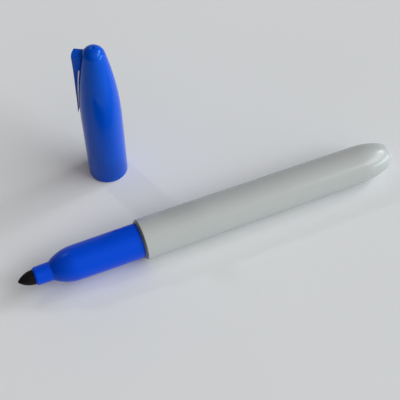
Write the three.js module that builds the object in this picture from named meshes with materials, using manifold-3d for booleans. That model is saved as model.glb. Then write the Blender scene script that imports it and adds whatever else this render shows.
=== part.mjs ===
// A fibre-tip permanent marker, uncapped: the pen lies on its side and its cap stands on its mouth
// beside it. Millimetres, +Z up. Stations on the pen are measured along its axis from the barrel's
// rim, positive towards the tail and negative towards the nib. Heights on the cap start at its mouth.
import * as THREE from 'three';
import { mergeVertices } from 'three/addons/utils/BufferGeometryUtils.js';
import Module from 'manifold-3d';

const wasm = await Module();
wasm.setup();

// Clearances between pieces
const plugClearance = 0.12; // section plug in the barrel's mouth, on the radius
const capClearance = 0.12; // cap over the front section, on the radius
const nibClearance = 0.1; // nib in its bores, on the radius
const filmClearance = 0.1; // reservoir core in its film, on the radius
const reservoirClearance = 0.15; // wrapped reservoir in what holds it, on the radius
const sealClearance = 0.12; // seal in the cap and on the neck, on the radius
const endClearance = 0.3; // pieces that meet end to end
const clipTipClearance = 0.26; // clip tip over the cap's side
const clipRootClearance = 0.22; // clip blade over the cap's side, next to its root
const clipSplit = 0.3; // between the clip's blade and its root

// Nib
const nibRadius = 2.2;
const nibTipRadius = 0.5;
const nibExposedLength = 4.75;
const nibInsertion = 6.8; // length that sits in the reservoir
const nibPointLength = 1.2; // chamfer at the inner end

// Front section
const gripLength = 19.5; // rim to shoulder
const gripRootRadius = 5.32;
const gripDraft = 0.12; // the grip is this much slimmer at the shoulder
const shoulderLength = 7.4;
const neckLength = 4.5;
const neckWall = 0.44;
const neckDraft = 0.1;
const neckLipLength = 0.5;
const neckLipThickness = 0.12;
const plugLength = 12.5;
const plugLeadIn = 0.6;
const snapBeadStation = 7;
const snapBeadHeight = 0.2;
const snapBeadLength = 1.6;
const ventCount = 3;
const ventWidth = 0.6;
const ventDepth = 0.18;

// Barrel
const mouthWall = 0.76;
const rimFlat = 0.16;
const rimLength = 0.62;
const barrelDraft = 0.34; // the barrel is this much slimmer where the tail starts
const barrelLength = 71.2; // rim to tail
const barrelWall = 0.85;
const tailLength = 13;
const tailEase = 2.2; // how gently the tail leaves the barrel; an ellipse has 2
const tailFullness = 2.6; // how blunt the tail's end is; an ellipse has 2
const ribCount = 4;
const ribThickness = 0.8;
const ribLength = 54;
const ribStopLength = 4;
const ribStopReach = 2.2; // how far each rib reaches in behind the reservoir

// Ink reservoir
const reservoirLength = 74;
const reservoirReach = 2; // length that sits ahead of the barrel's rim
const coreRadius = 3.85;
const filmThickness = 0.15;

// Cap
const capWall = 0.72;
const capLength = 52.24;
const capStraightLength = 24;
const capDomeRadius = 3.39;
const capMouthRound = 0.25;

// Clip
const clipWidth = 3.63;
const clipDrop = 2.55; // the clip's flat top is this far below the cap's
const clipRootLength = 5.09;
const clipBladeLength = 17.4;
const clipProud = 0.04; // how far the clip's root stands out from the cap's side
const clipTipThickness = 0.24;

// Seal inside the cap
const sealWall = 0.6;
const sealFlangeLength = 1.2;
const sealNeckGap = 0.4; // between the front section's shoulder and the seal when capped
const sealNibRoom = 1.4; // free length ahead of the nib when capped

// Arrangement on the table
const capAlong = 2.04; // cap axis behind the barrel's rim
const capAside = 34.09; // cap axis beside the pen's axis
const clipBearing = THREE.MathUtils.degToRad(149.7); // from +X to the side that the clip faces

// Facets
const outerSides = 56;
const innerSides = 40;
const curveSteps = 10;
const domeSteps = 6;
const bladeSteps = 4;

// Sizes that follow
const nibBore = nibRadius + nibClearance;
const neckFrontRadius = nibBore + neckWall;
const neckRootRadius = neckFrontRadius + neckDraft;
const gripFrontRadius = gripRootRadius - gripDraft;
const shoulderStation = -gripLength;
const neckStation = shoulderStation - shoulderLength;
const neckEdgeStation = neckStation - neckLength;
const neckFrontStation = neckEdgeStation - neckLipLength;
const nibTipStation = neckFrontStation - nibExposedLength;
const reservoirStation = -reservoirReach;
const reservoirEndStation = reservoirStation + reservoirLength;
const nibEndStation = reservoirStation + nibInsertion;
const filmBore = coreRadius + filmClearance;
const filmRadius = filmBore + filmThickness;
const reservoirBore = filmRadius + reservoirClearance;
const mouthBore = gripRootRadius + plugClearance;
const barrelFrontRadius = mouthBore + mouthWall;
const barrelRearRadius = barrelFrontRadius - barrelDraft;
const mouthDepth = plugLength + endClearance;
const ribStopStation = reservoirEndStation + endClearance;
const capBore = gripRootRadius + capClearance;
const capRadius = capBore + capWall;
const clipRadius = capRadius + clipProud;
const clipTopHeight = capLength - clipDrop;
const clipRootHeight = clipTopHeight - clipRootLength;
const clipTipHeight = clipRootHeight - clipBladeLength;

// Geometry helpers

function closed(geometry) {
  geometry.deleteAttribute('normal');
  geometry.deleteAttribute('uv');
  const merged = mergeVertices(geometry, 1e-5);
  const corners = merged.getIndex().array;
  const kept = [];
  for (let i = 0; i < corners.length; i += 3) {
    const [a, b, c] = corners.slice(i, i + 3);
    if (a !== b && b !== c && c !== a) kept.push(a, b, c);
  }
  merged.setIndex(kept);
  return merged;
}

// A solid of revolution. The profile's points are [radius, distance along the axis], in order
// anticlockwise with the radius to the right and the distance upwards.
function turned(profile, sides) {
  const points = profile.map(([radius, along]) => new THREE.Vector2(radius, along));
  return closed(new THREE.LatheGeometry(points, sides));
}

const turnedAlongX = (profile, sides) => turned(profile, sides).rotateZ(-Math.PI / 2);
const turnedAlongZ = (profile, sides) => turned(profile, sides).rotateX(Math.PI / 2);

// A flat outline of [x, y] points, thickened evenly to both sides of its plane.
function plate(outline, thickness) {
  const shape = new THREE.Shape(outline.map(([x, y]) => new THREE.Vector2(x, y)));
  const geometry = new THREE.ExtrudeGeometry(shape, { depth: thickness, bevelEnabled: false });
  return closed(geometry.translate(0, 0, -thickness / 2));
}

function toManifold(geometry) {
  const vertProperties = new Float32Array(geometry.attributes.position.array);
  const triVerts = new Uint32Array(geometry.getIndex().array);
  return new wasm.Manifold(new wasm.Mesh({ numProp: 3, vertProperties, triVerts }));
}

function toGeometry(manifold) {
  const { vertProperties, triVerts } = manifold.getMesh();
  const geometry = new THREE.BufferGeometry();
  geometry.setAttribute('position', new THREE.BufferAttribute(vertProperties, 3));
  geometry.setIndex(new THREE.BufferAttribute(triVerts, 1));
  return geometry;
}

// A bullet shape: from a straight side, a long arc that runs smoothly into a round tip.
function bullet(start, end, sideRadius, tipRadius) {
  const tipCentre = end - tipRadius;
  const reach = tipCentre - start;
  const drop = sideRadius - tipRadius;
  const sweep = (reach ** 2 + sideRadius ** 2 - tipRadius ** 2) / (2 * drop);
  const meet = Math.asin(reach / (sweep - tipRadius));
  const radiusAt = (along) => sideRadius - sweep + Math.sqrt(sweep ** 2 - (along - start) ** 2);
  const profile = [];
  for (let i = 0; i <= curveSteps; i++) {
    const angle = (meet * i) / curveSteps;
    profile.push([sideRadius - sweep + sweep * Math.cos(angle), start + sweep * Math.sin(angle)]);
  }
  for (let i = 1; i < domeSteps; i++) {
    const angle = meet + ((Math.PI / 2 - meet) * i) / domeSteps;
    profile.push([tipRadius * Math.cos(angle), tipCentre + tipRadius * Math.sin(angle)]);
  }
  profile.push([0, end]);
  return { profile, radiusAt };
}

const reversed = (profile) => profile.slice().reverse();
const mirrored = (profile) => profile.map(([radius, along]) => [radius, -along]);

// Barrel: one moulded shell, open at the rim and closed at the tail, with a groove that the front
// section snaps into and ribs that centre and stop the reservoir

// The tail's outside, or its inside at inset: a full ellipse that leaves the barrel smoothly.
function tail(inset) {
  const profile = [];
  for (let i = 0; i < curveSteps; i++) {
    const angle = (Math.PI / 2) * (i / curveSteps);
    const radius = (barrelRearRadius - inset) * Math.cos(angle) ** (2 / tailFullness);
    const along = (tailLength - inset) * Math.sin(angle) ** (2 / tailEase);
    profile.push([radius, barrelLength + along]);
  }
  profile.push([0, barrelLength + tailLength - inset]);
  return profile;
}

function barrelBoreAt(station) {
  const share = station / barrelLength;
  return barrelFrontRadius - barrelDraft * share - barrelWall;
}

function snapRing(radius, height, margin) {
  const half = snapBeadLength / 2 + margin;
  const rise = snapBeadLength / 4;
  return [
    [radius, snapBeadStation - half - rise],
    [radius + height, snapBeadStation - half],
    [radius + height, snapBeadStation + half],
    [radius, snapBeadStation + half + rise],
  ];
}

function makeBarrel() {
  const outside = [
    [mouthBore, 0],
    [mouthBore + rimFlat, 0],
    [barrelFrontRadius, rimLength],
    ...tail(0),
  ];
  const inside = [
    ...reversed(tail(barrelWall)),
    [barrelBoreAt(mouthDepth), mouthDepth],
    [mouthBore, mouthDepth],
    ...reversed(snapRing(mouthBore, snapBeadHeight, plugClearance)),
  ];
  const shell = toManifold(turnedAlongX([...outside, ...inside, outside[0]], outerSides));
  const ribStation = ribStopStation - ribLength;
  const ribEnd = ribStopStation + ribStopLength;
  const inTheWall = barrelWall / 2;
  const ribOutline = [
    [ribStation, barrelBoreAt(ribStation) + inTheWall],
    [ribStation, reservoirBore],
    [ribStopStation, reservoirBore],
    [ribStopStation, reservoirBore - ribStopReach],
    [ribEnd, reservoirBore - ribStopReach],
    [ribEnd, barrelRearRadius - barrelWall],
  ];
  let barrel = shell;
  for (let i = 0; i < ribCount; i++) {
    const turn = (2 * Math.PI * i) / ribCount;
    barrel = barrel.add(toManifold(plate(ribOutline, ribThickness).rotateX(turn)));
  }
  return toGeometry(barrel);
}

// Front section: grip, shoulder and neck in one moulding, with a plug that snaps into the barrel,
// a bore that grips the nib and vent channels along it

function makeFrontSection() {
  const depth = gripFrontRadius - neckRootRadius;
  const shoulderRadius = (shoulderLength ** 2 + depth ** 2) / (2 * depth);
  const shoulderSweep = Math.asin(shoulderLength / shoulderRadius);
  const shoulder = [];
  for (let i = 0; i <= curveSteps; i++) {
    const angle = shoulderSweep * (1 - i / curveSteps);
    const radius = gripFrontRadius - shoulderRadius * (1 - Math.cos(angle));
    shoulder.push([radius, shoulderStation - shoulderRadius * Math.sin(angle)]);
  }
  const outside = [
    [nibBore, neckFrontStation],
    [nibBore + neckLipThickness, neckFrontStation],
    [neckFrontRadius, neckEdgeStation],
    ...shoulder,
    [gripRootRadius, 0],
    ...snapRing(gripRootRadius, snapBeadHeight, 0),
    [gripRootRadius, plugLength - plugLeadIn],
    [gripRootRadius - plugLeadIn / 2, plugLength],
  ];
  const cavityStation = reservoirStation - endClearance;
  const inside = [
    [reservoirBore, plugLength],
    [reservoirBore, cavityStation],
    [nibBore, cavityStation],
  ];
  let section = toManifold(turnedAlongX([...outside, ...inside, outside[0]], outerSides));
  const ventEnd = cavityStation + endClearance;
  const ventOutline = [
    [neckFrontStation - endClearance, 0],
    [ventEnd, 0],
    [ventEnd, nibBore + ventDepth],
    [neckFrontStation - endClearance, nibBore + ventDepth],
  ];
  for (let i = 0; i < ventCount; i++) {
    const turn = (2 * Math.PI * i) / ventCount;
    section = section.subtract(toManifold(plate(ventOutline, ventWidth).rotateX(turn)));
  }
  return toGeometry(section);
}

// Nib: a bonded fibre rod with a bullet point outside and a chamfered end in the reservoir

function makeNib() {
  const point = mirrored(bullet(-neckFrontStation, -nibTipStation, nibRadius, nibTipRadius).profile);
  const inner = [
    [nibRadius, nibEndStation - nibPointLength],
    [nibRadius / 2, nibEndStation],
    [0, nibEndStation],
  ];
  return turnedAlongX([...reversed(point), ...inner], innerSides);
}

// Ink reservoir: a fibre rod with a socket for the nib, wrapped in a film sleeve

function makeCore() {
  const socketRadius = nibRadius + nibClearance;
  const socketEnd = nibEndStation + endClearance;
  const profile = [
    [0, socketEnd],
    [socketRadius, socketEnd],
    [socketRadius, reservoirStation],
    [coreRadius, reservoirStation],
    [coreRadius, reservoirEndStation],
    [0, reservoirEndStation],
  ];
  return turnedAlongX(profile, innerSides);
}

function makeFilm() {
  const profile = [
    [filmBore, reservoirStation],
    [filmRadius, reservoirStation],
    [filmRadius, reservoirEndStation],
    [filmBore, reservoirEndStation],
    [filmBore, reservoirStation],
  ];
  return turnedAlongX(profile, innerSides);
}

// Cap: one moulded shell, whose hollow keeps the wall even, with the clip's root on its side

const capOutside = bullet(capStraightLength, capLength, capRadius, capDomeRadius);
const capInside = bullet(
  capStraightLength,
  capLength - capWall,
  capBore,
  capDomeRadius - capWall,
);

// The part of a turned ring that lies within the clip's width, on the side that faces +X.
function clipSlice(profile) {
  const reach = 2 * capRadius;
  const strip = closed(new THREE.BoxGeometry(reach, clipWidth, 2 * capLength));
  strip.translate(reach / 2, 0, capLength / 2);
  return toManifold(turnedAlongZ(profile, outerSides)).intersect(toManifold(strip));
}

function makeCapShell() {
  const outside = toManifold(turnedAlongZ([
    [0, 0],
    [capRadius - capMouthRound, 0],
    [capRadius, capMouthRound],
    ...capOutside.profile,
  ], outerSides));
  const hollow = toManifold(turnedAlongZ([
    [0, -capMouthRound],
    [capBore, -capMouthRound],
    ...capInside.profile,
  ], outerSides));
  const rootInside = capInside.radiusAt(clipRootHeight) - capWall;
  const root = clipSlice([
    [rootInside, clipRootHeight],
    [clipRadius, clipRootHeight],
    [clipRadius, clipTopHeight],
    [rootInside, clipTopHeight],
    [rootInside, clipRootHeight],
  ]);
  return toGeometry(outside.add(root).subtract(hollow));
}

// Clip: the springy blade below its root, tapering to a thin tip that lies close to the cap's side

function makeClip() {
  const top = clipRootHeight - clipSplit;
  const inside = [];
  for (let i = 0; i <= bladeSteps; i++) {
    const share = i / bladeSteps;
    const height = THREE.MathUtils.lerp(clipTipHeight, top, share);
    const clearance = THREE.MathUtils.lerp(clipTipClearance, clipRootClearance, share);
    inside.push([capOutside.radiusAt(height) + clearance, height]);
  }
  const [tipInside] = inside[0];
  const blade = clipSlice([
    inside[0],
    [tipInside + clipTipThickness, clipTipHeight],
    [clipRadius, top],
    ...reversed(inside),
  ]);
  return toGeometry(blade);
}

// Seal: a thimble with a flange, pressed up into the cap, that closes round the neck and the nib

function makeSeal() {
  const flangeHeight = gripLength + shoulderLength + sealNeckGap;
  const flangeTop = flangeHeight + sealFlangeLength;
  const flangeRadius = capInside.radiusAt(flangeTop) - sealClearance;
  const bore = neckRootRadius + sealClearance;
  const innerTop = sealNibRoom - nibTipStation;
  const profile = [
    [0, innerTop],
    [bore, innerTop],
    [bore, flangeHeight],
    [flangeRadius, flangeHeight],
    [flangeRadius, flangeTop],
    [bore + sealWall, flangeTop],
    [bore + sealWall, innerTop],
    [bore, innerTop + sealWall],
    [0, innerTop + sealWall],
  ];
  return turnedAlongZ(profile, innerSides);
}

// Materials and assembly

function piece(name, geometry, color, roughness) {
  geometry.computeVertexNormals();
  const material = new THREE.MeshStandardMaterial({ color, roughness, metalness: 0 });
  const mesh = new THREE.Mesh(geometry, material);
  mesh.name = name;
  return mesh;
}

const blue = 0x0a41be;
const barrelGrey = 0xa9adac;

const pen = new THREE.Group();
pen.add(
  piece('barrel', makeBarrel(), barrelGrey, 0.35),
  piece('front_section', makeFrontSection(), blue, 0.45),
  piece('nib', makeNib(), 0x120d10, 0.95),
  piece('ink_reservoir', makeCore(), 0x1c2a5c, 0.95),
  piece('reservoir_film', makeFilm(), 0xdfe3e6, 0.2),
);
const lean = Math.atan2(barrelDraft, barrelLength - rimLength);
pen.rotation.y = lean;
pen.position.z = (barrelFrontRadius + rimLength * Math.tan(lean)) * Math.cos(lean);

const cap = new THREE.Group();
cap.add(
  piece('cap_shell', makeCapShell(), blue, 0.3),
  piece('cap_clip', makeClip(), blue, 0.3),
  piece('cap_inner_seal', makeSeal(), 0xe8eaec, 0.4),
);
cap.rotation.z = clipBearing;
cap.position.set(capAlong, capAside, 0);

const marker = new THREE.Group();
marker.add(pen, cap);
marker.updateMatrixWorld(true);
const bounds = new THREE.Box3().setFromObject(marker, true);
marker.position.x = -(bounds.min.x + bounds.max.x) / 2;
marker.position.y = -(bounds.min.y + bounds.max.y) / 2;

export default marker;
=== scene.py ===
import math

import bmesh
import bpy
from mathutils import Matrix, Vector


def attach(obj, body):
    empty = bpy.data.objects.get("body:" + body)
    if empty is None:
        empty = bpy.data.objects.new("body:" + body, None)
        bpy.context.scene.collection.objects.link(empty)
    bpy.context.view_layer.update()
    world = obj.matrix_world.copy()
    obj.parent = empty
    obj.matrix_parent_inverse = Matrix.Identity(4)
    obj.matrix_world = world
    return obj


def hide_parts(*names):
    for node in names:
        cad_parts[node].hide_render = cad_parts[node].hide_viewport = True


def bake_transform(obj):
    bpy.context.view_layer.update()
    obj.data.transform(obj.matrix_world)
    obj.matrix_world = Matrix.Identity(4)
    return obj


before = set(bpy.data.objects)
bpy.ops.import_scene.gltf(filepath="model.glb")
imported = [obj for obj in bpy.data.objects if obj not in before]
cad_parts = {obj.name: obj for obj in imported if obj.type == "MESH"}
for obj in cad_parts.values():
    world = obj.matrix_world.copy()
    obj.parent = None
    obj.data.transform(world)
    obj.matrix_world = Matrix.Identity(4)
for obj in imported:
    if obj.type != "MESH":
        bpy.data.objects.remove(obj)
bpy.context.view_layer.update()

# Ink reservoir: a rod of bonded polyester fibres, soaked with blue ink, that fills the barrel.
# The CAD solid keeps its shape, because the barrel hides it, and takes a fibre finish that runs
# along the rod.


def add(tree, kind, inputs=None, **settings):
    """Adds a node with its settings, and sets or links its inputs by name or index."""
    node = tree.nodes.new(kind)
    for name, value in settings.items():
        setattr(node, name, value)
    for name, value in (inputs or {}).items():
        if isinstance(value, bpy.types.NodeSocket):
            tree.links.new(value, node.inputs[name])
        else:
            node.inputs[name].default_value = value
    return node


def math_node(tree, operation, *values):
    """The result of a math node that is fed with the values, numbers or sockets, in order."""
    return add(tree, "ShaderNodeMath", dict(enumerate(values)), operation=operation).outputs[0]


def srgb(red, green, blue):
    """A colour of the display, 0 to 255, as the linear colour that a shader takes."""
    def linear(level):
        level /= 255
        return level / 12.92 if level <= 0.04045 else ((level + 0.055) / 1.055) ** 2.4
    return (linear(red), linear(green), linear(blue), 1)


def start_material(name):
    """A new material with its node tree, its shader and the place on the object as a socket."""
    material = bpy.data.materials.new(name)
    material.use_nodes = True
    tree = material.node_tree
    shader = tree.nodes["Principled BSDF"]
    place = add(tree, "ShaderNodeTexCoord").outputs["Object"]
    return material, tree, shader, place


def noise(tree, place, size, detail=2.0, stretch=(1, 1, 1), roughness=0.5):
    """Noise whose features are about size metres across, drawn out along the axes by stretch."""
    scale = [1 / (size * along) for along in stretch]
    placed = add(tree, "ShaderNodeMapping", {"Vector": place, "Scale": scale})
    inputs = {"Vector": placed.outputs[0], "Scale": 1.0, "Detail": detail, "Roughness": roughness}
    return add(tree, "ShaderNodeTexNoise", inputs).outputs["Fac"]


def ramp(tree, value, low, high, start=0.0, end=1.0):
    """Maps low to high onto start to end, held level outside that range."""
    inputs = {"Value": value, "From Min": low, "From Max": high, "To Min": start, "To Max": end}
    return add(tree, "ShaderNodeMapRange", inputs).outputs["Result"]


def mixed(tree, factor, first, second):
    inputs = {0: factor, 6: first, 7: second}
    return add(tree, "ShaderNodeMix", inputs, data_type="RGBA").outputs[2]


def fibre_material(name, dry, soaked, strand, roughness, height):
    """Bonded fibres along X: streaks of two shades, raised by height, with a dull surface."""
    material, tree, shader, place = start_material(name)
    strands = noise(tree, place, strand, 3, (30, 1, 1))
    clumps = noise(tree, place, strand * 8, 2, (4, 1, 1))
    shade = math_node(tree, "MULTIPLY_ADD", clumps, 0.6, math_node(tree, "MULTIPLY", strands, 0.5))
    colour = mixed(tree, ramp(tree, shade, 0.4, 0.7), dry, soaked)
    tree.links.new(colour, shader.inputs["Base Color"])
    dull = ramp(tree, strands, 0.3, 0.7, roughness, roughness * 0.85)
    tree.links.new(dull, shader.inputs["Roughness"])
    bump = add(tree, "ShaderNodeBump", {"Height": strands, "Distance": height})
    tree.links.new(bump.outputs[0], shader.inputs["Normal"])
    shader.inputs["IOR"].default_value = 1.45
    shader.inputs["Specular IOR Level"].default_value = 0.25
    return material


def dress(node, material):
    """Gives a carried-over CAD node its finish."""
    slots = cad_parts[node].data.materials
    slots.clear()
    slots.append(material)


ink_wet = fibre_material(
    "ink_soaked_fibre", srgb(60, 78, 160), srgb(14, 20, 74), 0.00012, 0.8, 0.00003
)
dress("ink_reservoir", ink_wet)

# Reservoir film: a thin clear polypropylene sleeve, drawn tightly round the fibre rod.
# The CAD solid keeps its shape inside the barrel; the finish has fine lengthwise wrinkles.
film_clear, tree, shader, place = start_material("clear_film")
wrinkles = noise(tree, place, 0.0005, 2, (14, 1, 1))
bump = add(tree, "ShaderNodeBump", {"Height": wrinkles, "Distance": 0.00004})
tree.links.new(bump.outputs[0], shader.inputs["Normal"])
tint = mixed(tree, ramp(tree, wrinkles, 0.4, 0.6), srgb(226, 231, 236), srgb(206, 214, 224))
tree.links.new(tint, shader.inputs["Base Color"])
tree.links.new(ramp(tree, wrinkles, 0.3, 0.7, 0.12, 0.25), shader.inputs["Roughness"])
shader.inputs["Transmission Weight"].default_value = 0.6
dress("reservoir_film", film_clear)

# Barrel: one injection-moulded shell of light grey polypropylene, open at the rim and closed by a
# softly rounded tail. Inside, a groove holds the front section and four ribs centre the reservoir.
mm = 0.001
skin = 0.02  # the finer meshes stay this far inside the CAD solids' outside

plug_clearance = 0.12
film_clearance = 0.1
reservoir_clearance = 0.15
end_clearance = 0.3
grip_root_radius = 5.32
mouth_wall = 0.76
mouth_bore = grip_root_radius + plug_clearance
plug_length = 12.5
bead_station = 7
bead_length = 1.6
bead_height = 0.2
rim_flat = 0.16
rim_length = 0.62
barrel_radius = mouth_bore + mouth_wall
barrel_draft = 0.34
barrel_length = 71.2
barrel_wall = 0.85
tail_radius = barrel_radius - barrel_draft
tail_length = 13
tail_ease = 2.2
tail_fullness = 2.6
bead_start = bead_station - bead_length / 2
bead_end = bead_station + bead_length / 2
bead_slope = bead_length / 4
reservoir_reach = 2
reservoir_length = 74
reservoir_radius = 3.85
film_wall = 0.15
reservoir_bore = reservoir_radius + film_clearance + film_wall + reservoir_clearance
rib_stop_station = reservoir_length - reservoir_reach + end_clearance
rib_length = 54
rib_stop_length = 4
rib_stop_reach = 2.2
rib_thickness = 0.8
rib_count = 4

cap_axis = Vector((-21.7347, 17.0666, 0)) * mm
pen_lean = math.atan2(barrel_draft, barrel_length - rim_length)
pen_height = (barrel_radius + rim_length * math.tan(pen_lean)) * math.cos(pen_lean)
pen_place = Matrix.Translation(Vector((-23.7747, -17.0234, pen_height)) * mm)
pen_place @= Matrix.Rotation(pen_lean, 4, "Y")


def outline(corners, ring=False, step=1.2, support=0.12, arc_steps=5):
    """Points of a profile from corners (station, radius) or (station, radius, round), in mm.
    Rounds become arcs, and straight runs get a point near each end and one every step."""
    bent = []
    for i, corner in enumerate(corners):
        here = Vector(corner[:2])
        if len(corner) == 2:
            bent.append(here)
            continue
        back = (Vector(corners[i - 1][:2]) - here).normalized()
        ahead = (Vector(corners[(i + 1) % len(corners)][:2]) - here).normalized()
        half = back.angle(ahead) / 2
        centre = here + (back + ahead).normalized() * corner[2] / math.sin(half)
        first = (here + back * corner[2] / math.tan(half) - centre).normalized()
        last = (here + ahead * corner[2] / math.tan(half) - centre).normalized()
        for k in range(arc_steps + 1):
            bent.append(centre + first.slerp(last, k / arc_steps) * corner[2])
    if ring:
        bent.append(bent[0])
    points = [bent[0]]
    for start, end in zip(bent, bent[1:]):
        run = (end - start).length
        if run > 3 * support:
            inner = max(1, math.ceil((run - 2 * support) / step))
            shares = [(support + (run - 2 * support) * k / inner) / run for k in range(inner + 1)]
            points += [start.lerp(end, share) for share in shares]
        if run > 1e-6:
            points.append(end)
    return points


def turned_tree(name, cuts=()):
    """A node tree that turns the object's profile round X. For each name in cuts it has inputs for
    a ring of equal grooves or ribs: the inner wall is moved to Reach within Width."""
    tree = bpy.data.node_groups.new(name, "GeometryNodeTree")
    face = tree.interface
    face.new_socket("Geometry", in_out="OUTPUT", socket_type="NodeSocketGeometry")
    face.new_socket("Geometry", in_out="INPUT", socket_type="NodeSocketGeometry")
    face.new_socket("Sides", in_out="INPUT", socket_type="NodeSocketInt")
    face.new_socket("Finish", in_out="INPUT", socket_type="NodeSocketMaterial")
    for cut in cuts:
        face.new_socket(f"{cut} Count", in_out="INPUT", socket_type="NodeSocketInt")
        for size in ("Width", "From", "To", "Wall", "Reach"):
            face.new_socket(f"{cut} {size}", in_out="INPUT", socket_type="NodeSocketFloat")
    given = add(tree, "NodeGroupInput").outputs
    sides = given["Sides"]
    profile = given["Geometry"]
    count = add(
        tree, "GeometryNodeAttributeDomainSize", {"Geometry": profile}, component="MESH"
    ).outputs["Point Count"]
    columns = math_node(tree, "ADD", sides, 1)
    grid = add(tree, "GeometryNodeMeshGrid", {"Vertices X": count, "Vertices Y": columns})
    index = add(tree, "GeometryNodeInputIndex").outputs[0]
    row = math_node(tree, "FLOOR", math_node(tree, "DIVIDE", index, columns))
    column = math_node(tree, "MODULO", index, columns)
    turn = math_node(tree, "DIVIDE", column, sides)
    sample = add(
        tree,
        "GeometryNodeSampleIndex",
        {"Geometry": profile, "Index": row},
        data_type="FLOAT_VECTOR",
        domain="POINT",
    )
    tree.links.new(add(tree, "GeometryNodeInputPosition").outputs[0], sample.inputs["Value"])
    point = add(tree, "ShaderNodeSeparateXYZ", {0: sample.outputs["Value"]}).outputs
    station, radius = point["X"], point["Y"]
    for cut in cuts:
        number, width = given[f"{cut} Count"], given[f"{cut} Width"]
        wall, reach = given[f"{cut} Wall"], given[f"{cut} Reach"]
        share = math_node(tree, "FRACT", math_node(tree, "MULTIPLY_ADD", turn, number, 0.5))
        aside = math_node(tree, "ABSOLUTE", math_node(tree, "SUBTRACT", share, 0.5))
        span = math_node(tree, "MULTIPLY", math_node(tree, "DIVIDE", aside, number), math.tau)
        beside = math_node(tree, "MULTIPLY", span, wall)
        inside = math_node(tree, "LESS_THAN", beside, math_node(tree, "MULTIPLY", width, 0.5))
        for test, value, limit in (
            ("GREATER_THAN", station, given[f"{cut} From"]),
            ("LESS_THAN", station, given[f"{cut} To"]),
            ("LESS_THAN", radius, wall),
        ):
            inside = math_node(tree, "MULTIPLY", inside, math_node(tree, test, value, limit))
        # A tenth of the wall's own depth is kept, so that no two moved points fall together.
        depth = math_node(tree, "SUBTRACT", radius, wall)
        level = math_node(tree, "MULTIPLY_ADD", depth, 0.1, reach)
        moved = math_node(tree, "MULTIPLY", math_node(tree, "SUBTRACT", level, radius), inside)
        radius = math_node(tree, "ADD", radius, moved)
    angle = math_node(tree, "MULTIPLY", turn, math.tau)
    across = math_node(tree, "MULTIPLY", radius, math_node(tree, "COSINE", angle))
    up = math_node(tree, "MULTIPLY", radius, math_node(tree, "SINE", angle))
    position = add(tree, "ShaderNodeCombineXYZ", {"X": station, "Y": across, "Z": up}).outputs[0]
    wrap = add(tree, "ShaderNodeCombineXYZ", {"X": station, "Y": turn}).outputs[0]
    wrap = add(
        tree, "GeometryNodeFieldOnDomain", {0: wrap}, data_type="FLOAT_VECTOR", domain="POINT"
    ).outputs[0]
    turned = add(
        tree,
        "GeometryNodeStoreNamedAttribute",
        {"Geometry": grid.outputs["Mesh"], "Name": "wrap", "Value": wrap},
        data_type="FLOAT2",
        domain="CORNER",
    ).outputs["Geometry"]
    turned = add(
        tree, "GeometryNodeSetPosition", {"Geometry": turned, "Position": position}
    ).outputs["Geometry"]
    turned = add(
        tree, "GeometryNodeMergeByDistance", {"Geometry": turned, "Distance": 1e-6}
    ).outputs["Geometry"]
    turned = add(tree, "GeometryNodeRealizeInstances", {"Geometry": turned}).outputs["Geometry"]
    turned = add(
        tree, "GeometryNodeSetMaterial", {"Geometry": turned, "Material": given["Finish"]}
    ).outputs["Geometry"]
    add(tree, "NodeGroupOutput", {"Geometry": turned})
    return tree


def finished(name, mesh, sharp=50):
    """A piece from a mesh: faces outwards, smooth apart from edges sharper than sharp degrees."""
    shape = bmesh.new()
    shape.from_mesh(mesh)
    bmesh.ops.recalc_face_normals(shape, faces=shape.faces)
    shape.to_mesh(mesh)
    shape.free()
    mesh.shade_smooth()
    mesh.set_sharp_from_angle(angle=math.radians(sharp))
    piece = bpy.data.objects.new(name, mesh)
    bpy.context.scene.collection.objects.link(piece)
    return piece


def turned_piece(name, points, place, tree, finish, sides=192, sizes=None):
    """Runs a profile of points in mm through a turned_tree, and places the mesh it gives."""
    profile = bpy.data.meshes.new(f"{name}_profile")
    vertices = [(station * mm, max(radius, 0) * mm, 0) for station, radius in points]
    profile.from_pydata(vertices, [(i, i + 1) for i in range(len(vertices) - 1)], [])
    blank = bpy.data.objects.new(f"{name}_blank", profile)
    bpy.context.scene.collection.objects.link(blank)
    modifier = blank.modifiers.new("turned", "NODES")
    modifier.node_group = tree
    values = {"Sides": sides, "Finish": finish, **(sizes or {})}
    for item in tree.interface.items_tree:
        if item.in_out == "INPUT" and item.name in values:
            modifier[item.identifier] = values[item.name]
    seen = blank.evaluated_get(bpy.context.evaluated_depsgraph_get())
    mesh = bpy.data.meshes.new_from_object(seen)
    bpy.data.objects.remove(blank)
    mesh.transform(place)
    return finished(name, mesh)


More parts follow.
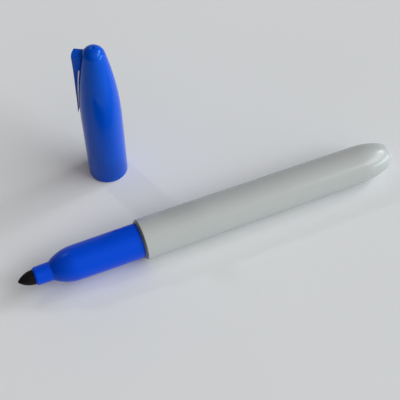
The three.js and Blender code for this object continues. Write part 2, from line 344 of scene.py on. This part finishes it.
def plastic(
    name,
    colour,
    roughness,
    grain=1.0,
    streak=(6, 1, 1),
    vary=0.08,
    gloss=0.4,
    sheen=(1, 1, 1, 1),
    edge_shade_and_grime=None,
):
    """Moulded plastic: a faint waviness and grain, flow streaks, fine handling scratches and, where
    the last argument gives its colour and how far it reaches from station 0, an edge darkened by
    painted shade with some grime."""
    material, tree, shader, place = start_material(name)
    flow = noise(tree, place, 0.0016, 3, streak)
    cloud = noise(tree, place, 0.009, 2)
    scratches = ramp(tree, noise(tree, place, 0.00016, 1, (40, 1, 1.6)), 0.70, 0.76)
    shade = math_node(tree, "MULTIPLY_ADD", flow, 0.5, math_node(tree, "MULTIPLY", cloud, 0.5))
    dark = [level * (1 - vary) for level in colour[:3]] + [1]
    light = [level * (1 + vary) for level in colour[:3]] + [1]
    base = mixed(tree, ramp(tree, shade, 0.0, 1.0), dark, light)
    # Painted shade with some grime: the surface near station 0 is blended towards a dark brownish
    # tint.
    if edge_shade_and_grime:
        tint, clear, full = edge_shade_and_grime
        station = add(tree, "ShaderNodeAttribute", {}, attribute_name="wrap").outputs["Vector"]
        station = add(tree, "ShaderNodeSeparateXYZ", {0: station}).outputs["X"]
        patchy = math_node(tree, "MULTIPLY_ADD", noise(tree, place, 0.0014, 2), 0.0002, station)
        base = mixed(tree, ramp(tree, patchy, full, clear, 0.85, 0.0), base, tint)
    tree.links.new(base, shader.inputs["Base Color"])
    rough = ramp(tree, cloud, 0.0, 1.0, roughness * 0.75, roughness * 1.25)
    worn = math_node(tree, "MULTIPLY_ADD", scratches, 0.04, rough)
    tree.links.new(worn, shader.inputs["Roughness"])
    peel = noise(tree, place, 0.0011, 2)
    fine = noise(tree, place, 0.00022, 2)
    height = math_node(tree, "MULTIPLY_ADD", fine, 0.3 * grain, peel)
    bump = add(tree, "ShaderNodeBump", {"Height": height, "Distance": 0.000006 * grain})
    tree.links.new(bump.outputs[0], shader.inputs["Normal"])
    shader.inputs["IOR"].default_value = 1.49
    shader.inputs["Specular IOR Level"].default_value = gloss
    shader.inputs["Specular Tint"].default_value = sheen
    return material


def tail_end(inset, steps=40):
    """The tail's outside drawn in by inset: a full ellipse that leaves the barrel smoothly."""
    points = []
    for k in range(steps):
        angle = math.pi / 2 * k / steps
        along = (tail_length - inset) * math.sin(angle) ** (2 / tail_ease)
        radius = (tail_radius - inset) * math.cos(angle) ** (2 / tail_fullness)
        points.append((barrel_length + along, radius))
    points.append((barrel_length + tail_length - inset, 0))
    return points


def bore_at(station):
    """The inside radius of the barrel's wall at a station, in mm."""
    return barrel_radius - barrel_draft * station / barrel_length - barrel_wall


mouth_depth = plug_length + end_clearance
groove_start = bead_start - plug_clearance
groove_end = bead_end + plug_clearance
barrel_profile = outline(
    [
        *reversed(tail_end(barrel_wall)),
        (mouth_depth, bore_at(mouth_depth), 0.05),
        (mouth_depth, mouth_bore, 0.05),
        (groove_end + bead_slope, mouth_bore, 0.1),
        (groove_end, mouth_bore + bead_height, 0.1),
        (groove_start, mouth_bore + bead_height, 0.1),
        (groove_start - bead_slope, mouth_bore, 0.1),
        (0, mouth_bore, 0.04),
        (0, mouth_bore + rim_flat, 0.05),
        (rim_length, barrel_radius - skin, 0.12),
        *tail_end(skin),
    ]
)
barrel_grey = plastic(
    "light_grey_polypropylene",
    srgb(180, 184, 184),
    0.24,
    vary=0.033,
    # The rim chamfer is painted darker and brownish: mostly painted shade, with some grime.
    edge_shade_and_grime=(srgb(98, 91, 90), 0.0008, 0.00058),
)
rib_wall = bore_at(0) + 0.05  # just outside the wall, so that a rib takes its whole depth
barrel = turned_piece(
    "barrel_moulding",
    barrel_profile,
    pen_place,
    turned_tree("turned_barrel", ("Rib", "Rib Stop")),
    barrel_grey,
    sizes={
        "Rib Count": rib_count,
        "Rib Width": rib_thickness * mm,
        "Rib From": (rib_stop_station - rib_length) * mm,
        "Rib To": rib_stop_station * mm,
        "Rib Wall": rib_wall * mm,
        "Rib Reach": reservoir_bore * mm,
        "Rib Stop Count": rib_count,
        "Rib Stop Width": rib_thickness * mm,
        "Rib Stop From": rib_stop_station * mm,
        "Rib Stop To": (rib_stop_station + rib_stop_length) * mm,
        "Rib Stop Wall": rib_wall * mm,
        "Rib Stop Reach": (reservoir_bore - rib_stop_reach) * mm,
    },
)
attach(barrel, "pen")
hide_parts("barrel")

# Front section: grip, round shoulder and neck in one satin blue polypropylene moulding. Its plug
# snaps into the barrel, and three vent channels run along the bore that grips the nib.
nib_clearance = 0.1
nib_radius = 2.2
nib_bore = nib_radius + nib_clearance
neck_wall = 0.44
neck_draft = 0.1
neck_length = 4.5
lip_length = 0.5
lip_thickness = 0.12
grip_length = 19.5
grip_draft = 0.12
shoulder_length = 7.4
plug_lead_in = 0.6
vent_count = 3
vent_width = 0.6
vent_depth = 0.18
vent_overlap = 0.1
crease_round = 0.5

neck_front = nib_bore + neck_wall
neck_root = neck_front + neck_draft
grip_front = grip_root_radius - grip_draft
neck_station = -grip_length - shoulder_length
edge_station = neck_station - neck_length
front_station = edge_station - lip_length
cavity_station = -reservoir_reach - end_clearance


def shoulder(steps=22):
    """The shoulder's arc from just behind the neck's crease to the grip."""
    depth = grip_front - neck_root
    radius = (shoulder_length**2 + depth**2) / (2 * depth)
    sweep = math.asin(shoulder_length / radius)
    points = []
    for k in range(steps + 1):
        angle = sweep * (1 - k / steps)
        station = -grip_length - radius * math.sin(angle)
        points.append((station, grip_front - radius * (1 - math.cos(angle)) - skin))
    return points


section_profile = outline(
    [
        (cavity_station, nib_bore, 0.05),
        (front_station, nib_bore, 0.04),
        (front_station, nib_bore + lip_thickness - skin, 0.05),
        (edge_station, neck_front - skin, 0.15),
        (neck_station, neck_root - skin, crease_round),
        *shoulder()[2:],
        (-0.3, grip_root_radius - skin),
        (bead_start - bead_slope, grip_root_radius, 0.1),
        (bead_start, grip_root_radius + bead_height, 0.1),
        (bead_end, grip_root_radius + bead_height, 0.1),
        (bead_end + bead_slope, grip_root_radius, 0.1),
        (plug_length - plug_lead_in, grip_root_radius, 0.1),
        (plug_length, grip_root_radius - plug_lead_in / 2, 0.1),
        (plug_length, reservoir_bore, 0.1),
        (cavity_station, reservoir_bore, 0.1),
    ],
    ring=True,
)
section_blue = plastic(
    "satin_blue_polypropylene",
    srgb(2, 70, 213),
    0.3,
    streak=(5, 1, 1),
    gloss=0.3,
    sheen=(0.25, 0.6, 1, 1),
)
front_section = turned_piece(
    "front_section_moulding",
    section_profile,
    pen_place,
    turned_tree("turned_section", ("Vent",)),
    section_blue,
    sizes={
        "Vent Count": vent_count,
        "Vent Width": vent_width * mm,
        "Vent From": (front_station - vent_overlap) * mm,
        "Vent To": (cavity_station - vent_overlap) * mm,
        "Vent Wall": (nib_bore + vent_depth) * mm,
        "Vent Reach": (nib_bore + vent_depth) * mm,
    },
)
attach(front_section, "pen")
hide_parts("front_section")

# Nib: a rod of bonded fibres ground to a bullet point, pushed through the neck into the
# reservoir. It is soaked so dark with ink that it looks black.
nib_tip_radius = 0.5
nib_exposed = 4.75
nib_insertion = 6.8
nib_point = 1.2


def bullet(start, end, side, tip, steps=24, tip_steps=10):
    """A straight side's end, a long arc that leaves it smoothly, and a round tip that it meets."""
    tip_centre = end - tip
    reach = tip_centre - start
    sweep = (reach**2 + side**2 - tip**2) / (2 * (side - tip))
    meet = math.asin(reach / (sweep - tip))
    points = []
    for k in range(steps + 1):
        angle = meet * k / steps
        points.append((start + sweep * math.sin(angle), side - sweep + sweep * math.cos(angle)))
    for k in range(1, tip_steps + 1):
        angle = meet + (math.pi / 2 - meet) * k / tip_steps
        points.append((tip_centre + tip * math.sin(angle), tip * math.cos(angle)))
    points[-1] = (end, 0)
    return points


nib_end = nib_insertion - reservoir_reach
point = bullet(-front_station, -front_station + nib_exposed, nib_radius - skin, nib_tip_radius)
nib_profile = outline(
    [
        *[(-station, radius) for station, radius in reversed(point)],
        (nib_end - nib_point, nib_radius - skin, 0.1),
        (nib_end, nib_radius / 2, 0.05),
        (nib_end, 0),
    ]
)
nib_black = fibre_material(
    "inked_nib_fibre", srgb(14, 8, 11), srgb(3, 2, 3), 0.00006, 0.75, 0.00002
)
nib = turned_piece(
    "fibre_nib", nib_profile, pen_place, turned_tree("turned_nib"), nib_black, sides=96
)
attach(nib, "pen")
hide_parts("nib")

# Cap shell: one glossy blue polypropylene moulding, straight at its mouth and drawn in to a small
# dome, with an even wall. It stands on its mouth beside the pen.
cap_clearance = 0.12
cap_wall = 0.72
cap_length = 52.24
cap_straight = 24
dome_radius = 3.39
mouth_round = 0.25
gate_radius = 0.6
gate_floor = 0.33
gate_depth = 0.3
cap_bore = grip_root_radius + cap_clearance
cap_radius = cap_bore + cap_wall
upright = Matrix.Translation(cap_axis) @ Matrix.Rotation(-math.pi / 2, 4, "Y")

dome = bullet(cap_straight, cap_length - skin, cap_radius - skin, dome_radius, 40, 24)
hollow = bullet(cap_straight, cap_length - cap_wall, cap_bore, dome_radius - cap_wall, 40)
cap_profile = outline(
    [
        *reversed(hollow),
        (0, cap_bore, 0.15),
        (0, cap_radius - skin, mouth_round),
        *[spot for spot in dome if spot[1] > gate_radius + 0.1],
        (cap_length - skin - gate_radius**2 / (2 * dome_radius), gate_radius, 0.12),
        (cap_length - gate_depth, gate_floor, 0.15),
        (cap_length - gate_depth, 0),
    ]
)
cap_blue = plastic(
    "glossy_blue_polypropylene",
    srgb(1, 76, 200),
    0.09,
    grain=0.6,
    streak=(1, 1, 6),
    gloss=0.3,
    sheen=(0.4, 0.9, 1, 1),
)
cap_shell = turned_piece(
    "cap_moulding", cap_profile, upright, turned_tree("turned_cap"), cap_blue
)
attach(cap_shell, "cap")
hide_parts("cap_shell")

# Clip: a springy tongue moulded with the cap. Its block-shaped root grows out of the dome, and the
# blade thins towards a tip that lies close to the cap's side.
clip_width = 3.63
clip_top = 49.69
clip_root = 44.6
clip_tip = 27.2
clip_radius = cap_radius + 0.04
tip_gap = 0.26
root_gap = 0.22
tip_thickness = 0.24
clip_bearing = math.radians(149.7)
clip_corner = 0.22
clip_top_round = 0.25
clip_tip_round = 0.08
clip_split = 0.3
root_depth = 0.35
root_start = clip_root - 0.5
root_end = clip_root + 0.25
hinge_radius = 5.63
hinge_height = 44.45


def cap_side(height):
    """The cap's outside radius at a height, in mm."""
    reach = cap_length - dome_radius - cap_straight
    sweep = (reach**2 + cap_radius**2 - dome_radius**2) / (2 * (cap_radius - dome_radius))
    return cap_radius - sweep + math.sqrt(sweep**2 - max(height - cap_straight, 0) ** 2)


def smooth(low, high, value):
    """0 up to low, 1 from high on, and an even S between them."""
    share = min(max((value - low) / (high - low), 0), 1)
    return share * share * (3 - 2 * share)


def clip_section(height, inset):
    """The clip's cross-section at a height: a rounded bar with its outer face on the cap's
    largest circle, drawn in evenly by inset."""
    blade_top = clip_root - clip_split
    share = (min(height, blade_top) - clip_tip) / (blade_top - clip_tip)
    outer = cap_side(clip_tip) + tip_gap + tip_thickness
    outer += (clip_radius - outer) * share
    inner = cap_side(height) + tip_gap + (root_gap - tip_gap) * share
    rooted = cap_side(height) - root_depth
    inner += (rooted - inner) * smooth(root_start, root_end, height)
    half = clip_width / 2 - inset
    face_points = 5
    outer -= skin + inset
    inner += inset
    corner = min(clip_corner, (outer - inner) / 2.2, half / 2)
    bar = []
    for across, along, start in ((1, 1, 0), (-1, 1, 90), (-1, -1, 180), (1, -1, 270)):
        side = half - corner
        face = (outer if along > 0 else inner) - corner * along
        for k in range(6):
            angle = math.radians(start + 90 * k / 5)
            bar.append((side * across + corner * math.cos(angle), face + corner * math.sin(angle)))
        if start in (0, 180):
            step = side * 2 / (face_points + 1)
            level = outer if along > 0 else inner
            bar += [(across * (side - step * (k + 1)), level) for k in range(face_points)]
    # The outer face follows the circle that it is cut from.
    rows = []
    for aside, out in bar:
        bow = clip_radius - math.sqrt(clip_radius**2 - aside**2)
        rows.append((out - bow * smooth(inner, outer, out), aside, height))
    return rows


def clip_heights():
    """Heights of the cross-sections from the tip up, with each one's inset for the rounded ends."""
    rows = []
    for k in range(6):
        angle = math.radians(90 * k / 5)
        rise = clip_tip_round * (1 - math.cos(angle))
        rows.append((clip_tip + rise, clip_tip_round * (1 - math.sin(angle))))
    low, high = clip_tip + clip_tip_round, clip_top - clip_top_round
    for k in range(1, 60):
        rows.append((low + (high - low) * k / 60, 0))
    for k in range(7):
        angle = math.radians(90 * k / 6)
        rise = clip_top_round * math.sin(angle)
        rows.append((high + rise - skin * k / 6, clip_top_round * (1 - math.cos(angle))))
    return rows


clip_mesh = bpy.data.meshes.new("clip_tongue")
shape = bmesh.new()
loops = []
for height, inset in clip_heights():
    loops.append([shape.verts.new(Vector(spot) * mm) for spot in clip_section(height, inset)])
for lower, upper in zip(loops, loops[1:]):
    for i in range(len(lower)):
        shape.faces.new((lower[i - 1], lower[i], upper[i], upper[i - 1]))
for loop in (loops[0], loops[-1]):
    shape.faces.new(loop)
bmesh.ops.transform(
    shape,
    matrix=Matrix.Translation(cap_axis) @ Matrix.Rotation(clip_bearing, 4, "Z"),
    verts=shape.verts,
)
shape.to_mesh(clip_mesh)
shape.free()
clip_mesh.materials.append(cap_blue)
clip = finished("clip_tongue", clip_mesh)
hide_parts("cap_clip")
hinge = Matrix.Rotation(clip_bearing, 3, "Z") @ Vector((hinge_radius, 0, hinge_height)) * mm
hinge += cap_axis
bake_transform(clip)

# Inner seal: a thimble of natural white polyethylene with a flange, pressed up into the cap. It
# closes round the neck and the nib when the cap is on.
seal_clearance = 0.12
seal_wall = 0.6
flange_length = 1.2
seal_neck_gap = 0.4
nib_room = 1.4
flange_height = grip_length + shoulder_length + seal_neck_gap
flange_top = flange_height + flange_length
seal_bore = neck_root + seal_clearance
seal_top = nib_room + nib_exposed - front_station
flange_radius = cap_side(flange_top) - cap_wall - seal_clearance - skin
seal_profile = outline(
    [
        (seal_top, 0),
        (seal_top, seal_bore, 0.3),
        (flange_height, seal_bore, 0.15),
        (flange_height, flange_radius, 0.15),
        (flange_top, flange_radius, 0.15),
        (flange_top, seal_bore + seal_wall, 0.2),
        (seal_top, seal_bore + seal_wall, 0.3),
        (seal_top + seal_wall, seal_bore, 0.3),
        (seal_top + seal_wall, 0),
    ]
)
seal_white = plastic("natural_white_polyethylene", srgb(232, 234, 236), 0.4, vary=0.015)
seal = turned_piece(
    "inner_seal", seal_profile, upright, turned_tree("turned_seal"), seal_white, sides=128
)
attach(seal, "cap")
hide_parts("cap_inner_seal")

# Table, light and camera: a pale table top, daylight from a row of windows on the right, a low
# window beyond the tail and a small one behind, a dim room, and the photograph's viewpoint.
floor_reach = 6.0
lamp_distance = 12.0
camera_height = 53.583
camera_turn = -23.205

floor_mesh = bpy.data.meshes.new("table_top")
floor_mesh.from_pydata(
    [(x * floor_reach, y * floor_reach, 0) for x, y in ((-1, -1), (1, -1), (1, 1), (-1, 1))],
    [],
    [(0, 1, 2, 3)],
)
floor = bpy.data.objects.new("table_top", floor_mesh)
bpy.context.scene.collection.objects.link(floor)
floor_pale, tree, shader, place = start_material("pale_table_top")
tone = noise(tree, place, 0.15, 2)
grain = noise(tree, place, 0.0012, 3)
blend = math_node(tree, "MULTIPLY_ADD", grain, 0.25, math_node(tree, "MULTIPLY", tone, 0.75))
pale = mixed(tree, ramp(tree, blend, 0.3, 0.7), srgb(228, 231, 235), srgb(232, 235, 239))
tree.links.new(pale, shader.inputs["Base Color"])
shader.inputs["Roughness"].default_value = 0.85
shader.inputs["Specular IOR Level"].default_value = 0.2
floor_mesh.materials.append(floor_pale)


def soft_light(name, direction, width, height, power, colour=(1, 1, 1)):
    """A rectangular light of so many watts, set in a direction from the object and facing it."""
    lamp = bpy.data.lights.new(name, "AREA")
    lamp.shape = "RECTANGLE"
    lamp.size, lamp.size_y, lamp.energy, lamp.color = width, height, power, colour
    holder = bpy.data.objects.new(name, lamp)
    aim = Vector(direction).normalized()
    holder.location = aim * lamp_distance
    holder.rotation_euler = aim.to_track_quat("Z", "Y").to_euler()
    bpy.context.scene.collection.objects.link(holder)


soft_light("low_window", (0.85, -0.52, 0.075), 9.5, 1.3, 560.0, (0.8, 1.0, 1.0))
soft_light("window_row", (0.76, -0.277, 0.588), 15.0, 4.0, 1080.0, (0.95, 0.98, 1.0))
soft_light("row_end", (0.821, 0.115, 0.559), 1.2, 1.2, 90.0)
soft_light("window_behind", (-0.25, 0.69, 0.68), 0.6, 0.9, 90.0)

world = bpy.data.worlds.new("soft_daylight")
bpy.context.scene.world = world
world.use_nodes = True
tree = world.node_tree
tree.nodes.clear()
path = add(tree, "ShaderNodeLightPath").outputs
sky = add(tree, "ShaderNodeTexCoord").outputs["Generated"]


def lobe(bearing, height, strength, level):
    """Adds to level a light that is brightest in one direction of the sky, given in degrees, and
    fades evenly round it."""
    flat = math.cos(math.radians(height))
    toward = (
        flat * math.cos(math.radians(bearing)),
        flat * math.sin(math.radians(bearing)),
        math.sin(math.radians(height)),
    )
    facing = add(tree, "ShaderNodeVectorMath", {0: sky, 1: toward}, operation="DOT_PRODUCT")
    glow = math_node(tree, "POWER", ramp(tree, facing.outputs["Value"], 0.0, 1.0), 4.0)
    return math_node(tree, "MULTIPLY_ADD", glow, strength, level)


cool_lobes = ((-60, 5, 0.22), (30, 5, 0.22), (75, 5, 0.33), (120, 5, 0.12), (-40, 35, 0.51))
warm_lobes = ((140, 5, 0.13), (-80, 30, 0.33), (-90, 65, 0.29))
cool = warm = 0.0
for bearing, height, strength in cool_lobes:
    cool = lobe(bearing, height, strength, cool)
for bearing, height, strength in warm_lobes:
    warm = lobe(bearing, height, strength, warm)
daylight = add(tree, "ShaderNodeBackground", {"Color": (0.94, 0.97, 1.0, 1), "Strength": cool})
warmth = add(tree, "ShaderNodeBackground", {"Color": (1.0, 0.83, 0.64, 1), "Strength": warm})
room = add(tree, "ShaderNodeAddShader", {0: daylight.outputs[0], 1: warmth.outputs[0]})
behind = add(tree, "ShaderNodeBackground", {"Color": srgb(206, 208, 211), "Strength": 1.0})
choice = {0: path["Is Camera Ray"], 1: room.outputs[0], 2: behind.outputs[0]}
chosen = add(tree, "ShaderNodeMixShader", choice)
add(tree, "ShaderNodeOutputWorld", {"Surface": chosen.outputs[0]})

lens = bpy.data.cameras.new("viewpoint")
lens.sensor_width = 36
lens.lens = 79.2
camera = bpy.data.objects.new("viewpoint", lens)
camera.location = Vector((-63.95, -155.65, 220.17)) * mm
camera.rotation_euler = (math.radians(90 - camera_height), 0, math.radians(camera_turn))
lens.clip_start = 0.01
lens.clip_end = 20
bpy.context.scene.collection.objects.link(camera)
bpy.context.scene.camera = camera
bpy.context.scene.view_settings.view_transform = "Standard"
